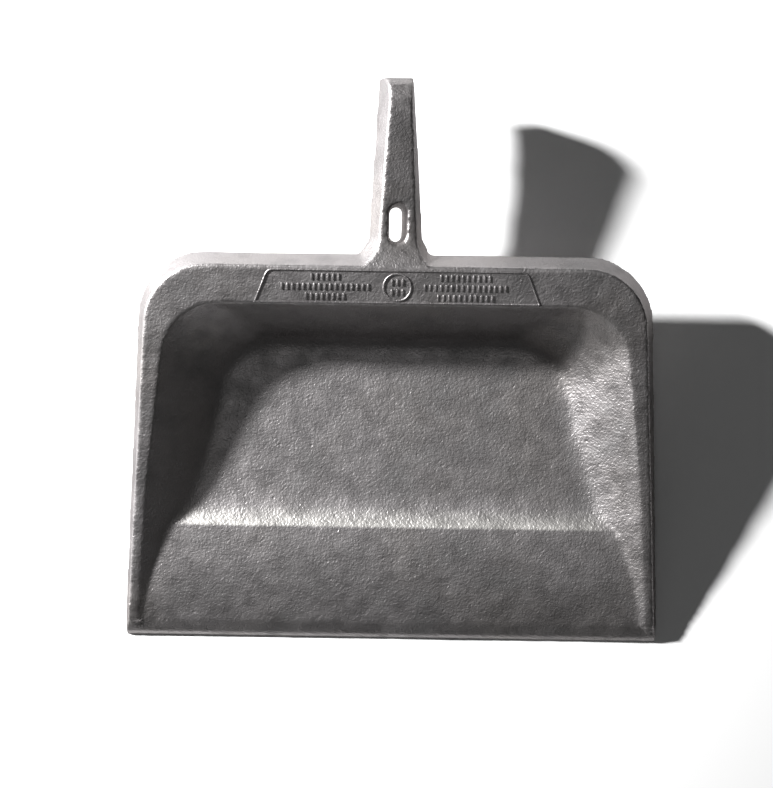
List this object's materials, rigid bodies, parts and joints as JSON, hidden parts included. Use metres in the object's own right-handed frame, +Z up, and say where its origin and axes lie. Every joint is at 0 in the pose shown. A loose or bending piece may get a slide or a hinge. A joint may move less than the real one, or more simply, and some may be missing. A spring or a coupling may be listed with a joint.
{
  "type": "dustpan",
  "caption": "One-piece cast metal dustpan with a ramped, crested scoop, a sloping U-shaped rim with a skirt, and a short tapering bar handle with a hanging slot.",
  "frame": {"origin": "on the ground, in the middle of the overall width and length", "axes": "+Z up; +Y from the lip to the end of the handle; +X across the pan, to the right when looking along +Y"},
  "size_m": [0.2458, 0.2564, 0.0512],
  "materials": {
    "cast_metal": "dark sand-cast skin, unpolished"
  },
  "bodies": {
    "root": {"tray": "cast_metal", "rim_flange": "cast_metal", "handle_root": "cast_metal", "handle": "cast_metal", "panel_bead": "cast_metal", "panel_ring": "cast_metal", "marks_left": "cast_metal", "marks_centre": "cast_metal", "marks_right": "cast_metal"}
  },
  "joints": []
}
